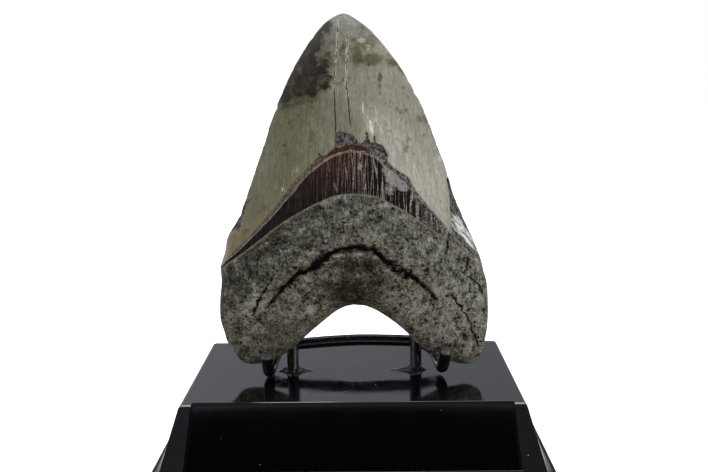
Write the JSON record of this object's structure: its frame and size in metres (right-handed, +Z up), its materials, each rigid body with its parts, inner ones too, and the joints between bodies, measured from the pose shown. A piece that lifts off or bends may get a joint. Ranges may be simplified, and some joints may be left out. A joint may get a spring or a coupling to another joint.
{
  "type": "megalodon tooth on display stand",
  "caption": "Fossil shark tooth with a broad root, leaning back in a bent rod cradle on a sloping-fronted display block.",
  "frame": {"origin": "under the middle of the block, on the surface that it stands on", "axes": "+Z up, the displayed face of the tooth and the name plate look along -Y, +X to the viewer's right"},
  "size_m": [0.1438, 0.1086, 0.1677],
  "materials": {
    "fossil": "mineralised enamel and root, satin",
    "block": "glossy black",
    "plate": "satin black",
    "rod": "black paint",
    "glue": "glossy, dark"
  },
  "bodies": {
    "root": {"tooth": "fossil", "base": "block", "name_plate": "plate", "cradle_bar": "rod", "back_support": "rod", "left_post_glue": "glue", "right_post_glue": "glue"}
  },
  "joints": []
}
